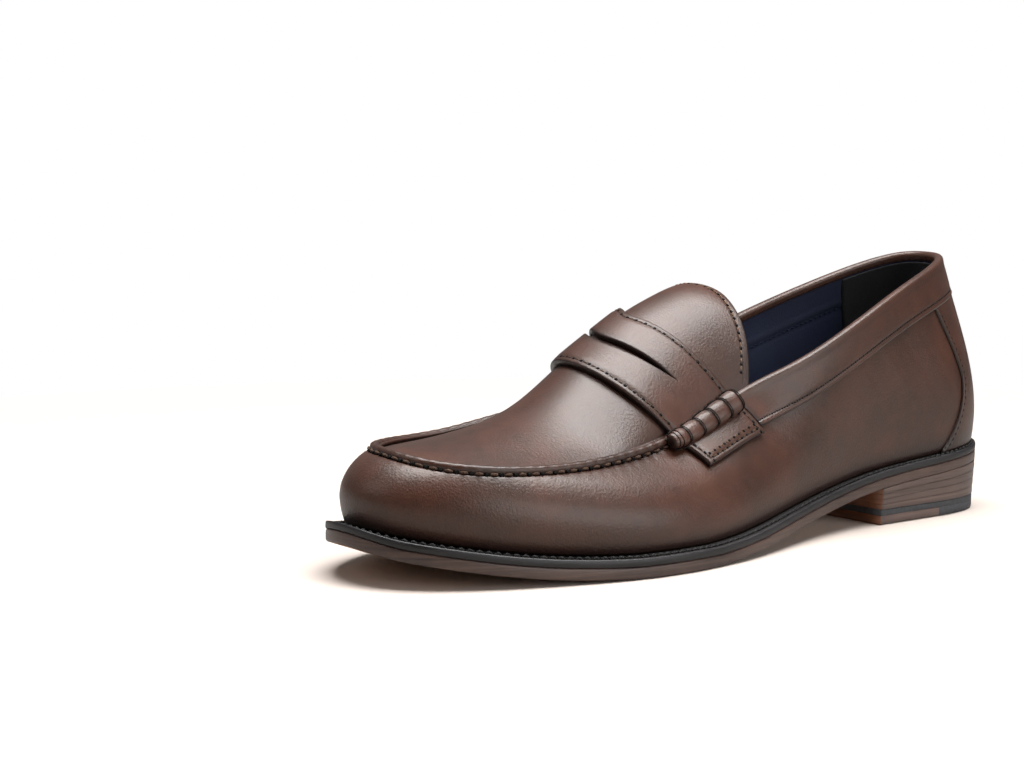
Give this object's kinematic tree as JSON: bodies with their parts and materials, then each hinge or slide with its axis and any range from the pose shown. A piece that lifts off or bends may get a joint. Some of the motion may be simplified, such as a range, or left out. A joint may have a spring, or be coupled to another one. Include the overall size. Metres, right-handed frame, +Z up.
{
  "type": "penny loafer",
  "caption": "Penny loafer for the left foot: moccasin toe, slotted saddle strap with lashed rolls, flexing tongue, welted leather sole and stacked heel.",
  "frame": {"origin": "centre of the heel's flat underside, on the floor", "axes": "+X the outer (lateral) side of the shoe, -Y towards the toe, +Y the long direction, +Z up"},
  "size_m": [0.1025, 0.303, 0.1035],
  "materials": {
    "brown_leather": "polished calf, satin gloss, burnished darker at the seams",
    "blue_lining": "smooth navy lining leather",
    "dark_suede": "matt near-black suede",
    "sole_leather": "natural underside, burnished brown edge",
    "welt_leather": "black, waxed",
    "heel_leather": "stacked, stained and waxed",
    "rubber": "matt",
    "board": "untreated leatherboard",
    "cork": "granulated cork",
    "steel": "plain",
    "thread": "waxed thread"
  },
  "bodies": {
    "shoe": {"vamp": "brown_leather", "apron": "brown_leather", "strap": "brown_leather", "beef_roll_lateral": "brown_leather", "beef_roll_medial": "brown_leather", "collar": "brown_leather", "backstay": "brown_leather", "vamp_lining": "blue_lining", "quarter_lining": "blue_lining", "apron_lining": "blue_lining", "sock_liner": "blue_lining", "heel_grip": "dark_suede", "outsole": "sole_leather", "welt": "welt_leather", "heel_lift_1": "heel_leather", "heel_lift_2": "heel_leather", "heel_lift_3": "heel_leather", "top_piece_leather": "heel_leather", "top_piece_rubber": "rubber", "insole": "board", "insole_rib": "board", "heel_counter": "board", "toe_puff": "board", "cork_filler": "cork", "shank": "steel", "heel_nail_1": "steel", "heel_nail_2": "steel", "heel_nail_3": "steel", "heel_nail_4": "steel", "heel_nail_5": "steel", "apron_seam_thread": "thread", "welt_thread": "thread"},
    "tongue": {"tongue": "brown_leather", "tongue_lining": "blue_lining"}
  },
  "joints": [
    {"name": "tongue_flex", "type": "hinge", "parent": "shoe", "child": "tongue", "pos_m": [0, -0.13533, 0.08044], "axis": [1, 0, 0], "range_deg": [-12, 22]}
  ]
}
